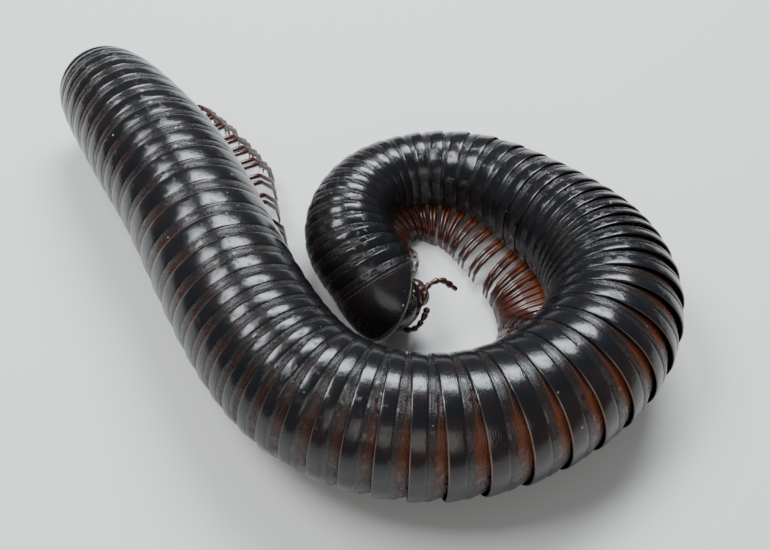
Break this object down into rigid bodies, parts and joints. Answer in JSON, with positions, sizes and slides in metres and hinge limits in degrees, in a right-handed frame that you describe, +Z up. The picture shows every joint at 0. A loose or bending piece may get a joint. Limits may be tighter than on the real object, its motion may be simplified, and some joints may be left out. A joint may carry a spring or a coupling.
{
  "type": "giant african millipede",
  "caption": "Life-size giant African millipede, still model curled in a loose loop, ringed body standing low on its many legs.",
  "frame": {"origin": "floor point under the middle of the animal's box", "axes": "+Z up, the loop's near side towards -Y, the tail end towards -X and +Y, the viewer of the picture on the -Y side"},
  "size_m": [0.1, 0.0846, 0.0228],
  "materials": {
    "plates": "glossy black chitin, browner at the rear edge of each ring, with fine cross grooves",
    "limbs": "glossy dark red-brown chitin, paler orange-brown at the leg roots",
    "eyes": "shiny black clustered lenses",
    "valves": "glossy dark brown chitin"
  },
  "bodies": {
    "root": {"trunk_01": "plates", "trunk_02": "plates", "trunk_03": "plates", "trunk_04": "plates", "trunk_05": "plates", "trunk_06": "plates", "trunk_07": "plates", "trunk_08": "plates", "trunk_09": "plates", "trunk_10": "plates", "trunk_11": "plates", "trunk_12": "plates", "trunk_13": "plates", "collum": "plates", "head": "plates", "mandible_left": "plates", "mandible_right": "plates", "tail": "plates", "antenna_left": "limbs", "antenna_right": "limbs", "chin_plate": "limbs", "eye_left": "eyes", "eye_right": "eyes", "anal_valve_left": "valves", "anal_valve_right": "valves"}
  },
  "joints": []
}
